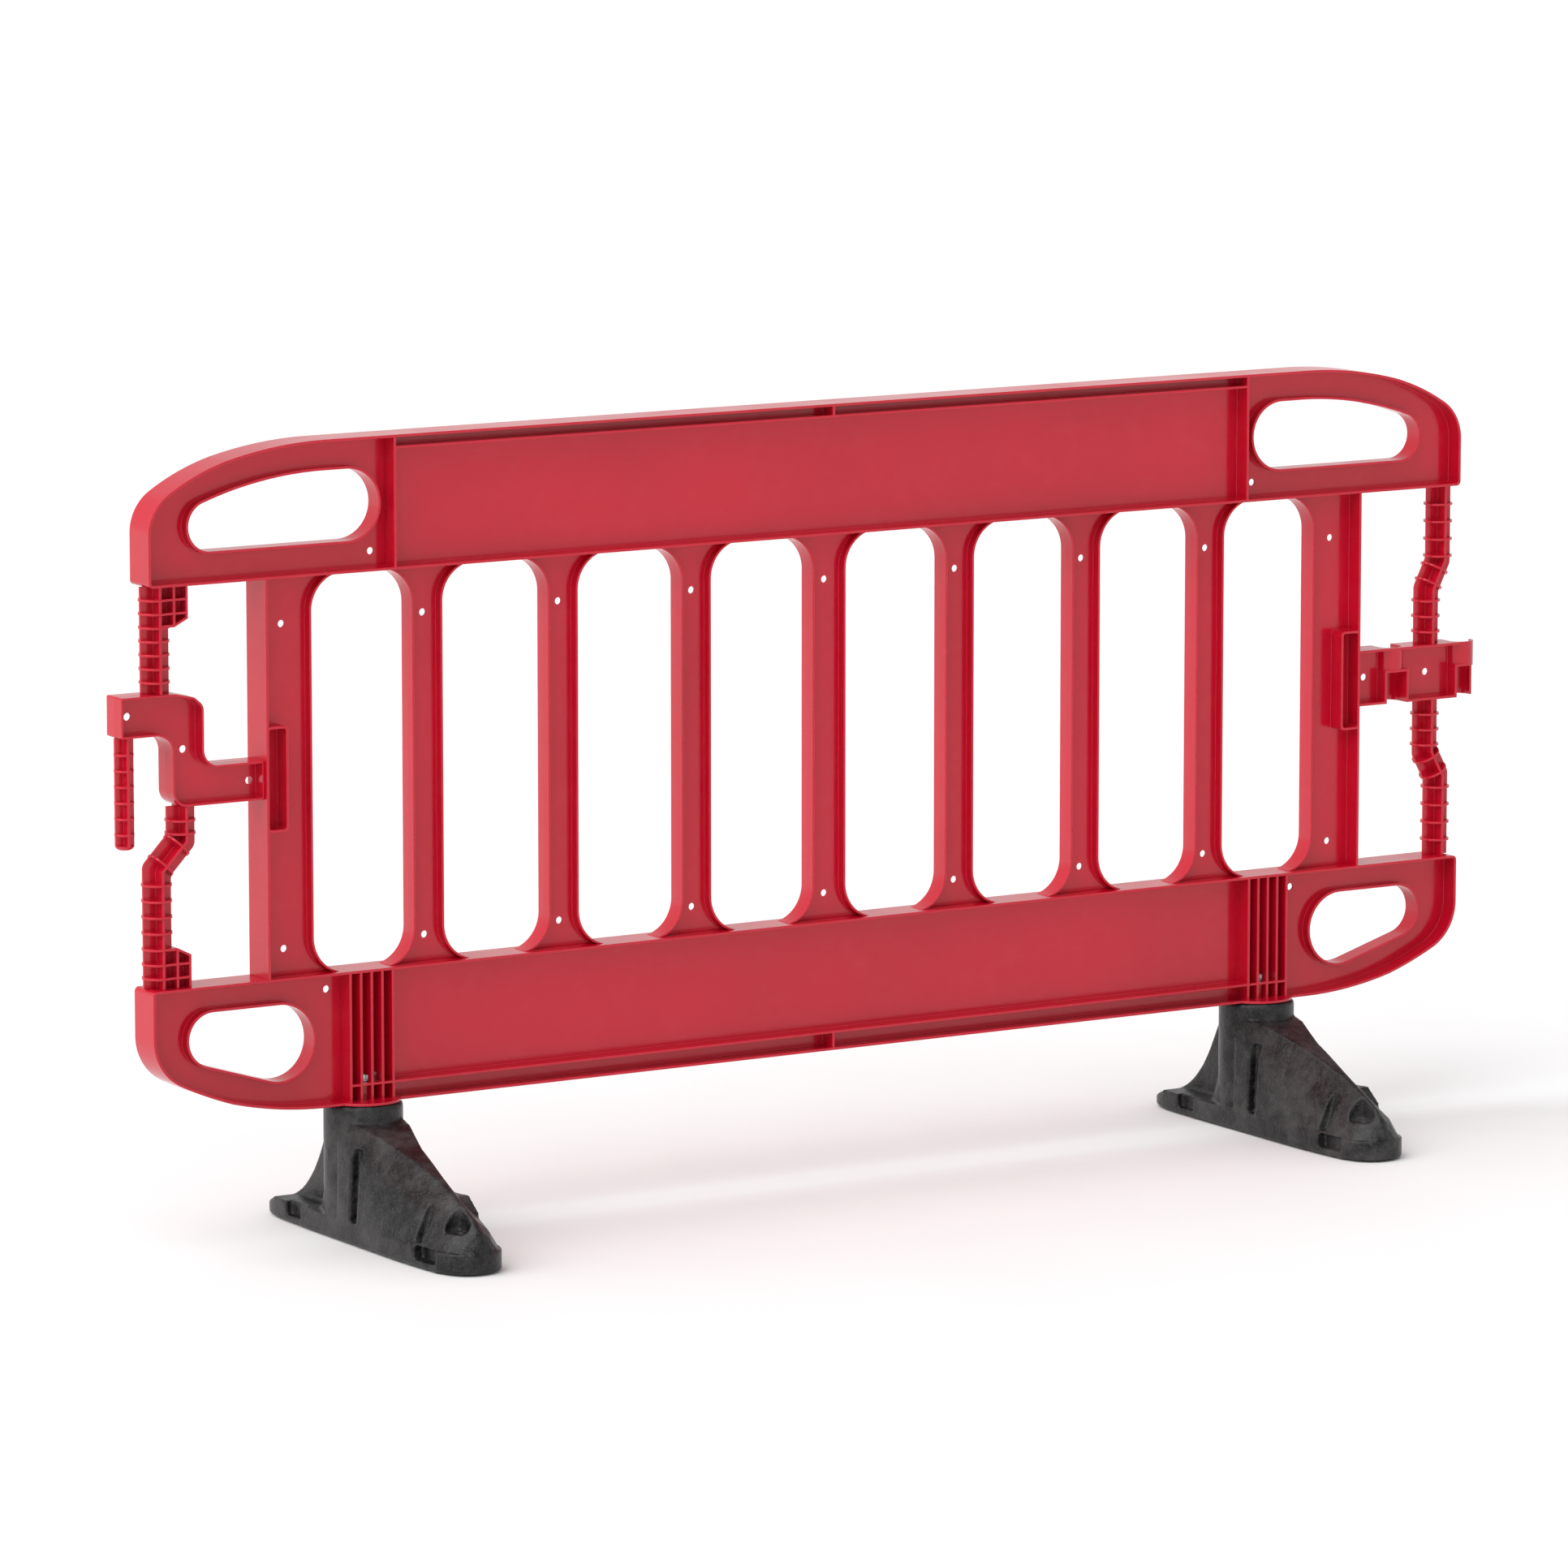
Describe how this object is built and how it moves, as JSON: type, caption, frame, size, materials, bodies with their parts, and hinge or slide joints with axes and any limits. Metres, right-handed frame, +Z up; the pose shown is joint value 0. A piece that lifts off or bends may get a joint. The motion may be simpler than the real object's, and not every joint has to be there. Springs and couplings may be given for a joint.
{
  "type": "crowd control barrier",
  "caption": "Interlocking plastic pedestrian barrier: ribbed panel with upright bars, grip openings, end hook and link sockets, on swivelling rubber anti-trip feet.",
  "frame": {"origin": "on the ground in the middle of the footprint, 51.5 mm in front of the panel's mid-plane", "axes": "+X along the panel from the hook end to the link bracket, +Y from the long toes of the feet to their heels, +Z up"},
  "size_m": [2.03, 0.4972, 0.9995],
  "materials": {
    "red_plastic": "semi-gloss moulded",
    "foot_rubber": "matt, mottled recycled rubber",
    "steel": "bright zinc"
  },
  "bodies": {
    "panel": {"upper_rail": "red_plastic", "left_upper_wing": "red_plastic", "right_upper_wing": "red_plastic", "lower_rail": "red_plastic", "left_lower_wing": "red_plastic", "right_lower_wing": "red_plastic", "left_foot_socket": "red_plastic", "right_foot_socket": "red_plastic", "bar_1": "red_plastic", "bar_2": "red_plastic", "bar_3": "red_plastic", "bar_4": "red_plastic", "bar_5": "red_plastic", "bar_6": "red_plastic", "bar_7": "red_plastic", "left_post": "red_plastic", "right_post": "red_plastic", "left_upper_guard": "red_plastic", "left_lower_guard": "red_plastic", "right_upper_guard": "red_plastic", "right_lower_guard": "red_plastic", "hook_arm": "red_plastic", "hook_pin": "red_plastic", "link_bracket": "red_plastic"},
    "left_foot_body": {"left_foot": "foot_rubber", "left_foot_peg": "steel", "left_peg_ring": "steel"},
    "right_foot_body": {"right_foot": "foot_rubber", "right_foot_peg": "steel", "right_peg_ring": "steel"}
  },
  "joints": [
    {"name": "left_foot_swivel", "type": "hinge", "parent": "panel", "child": "left_foot_body", "pos_m": [-0.6735, 0.0515, 0.1], "axis": [0, 0, 1], "range_deg": [-90, 90]},
    {"name": "right_foot_swivel", "type": "hinge", "parent": "panel", "child": "right_foot_body", "pos_m": [0.6735, 0.0515, 0.1], "axis": [0, 0, 1], "range_deg": [-90, 90]}
  ]
}
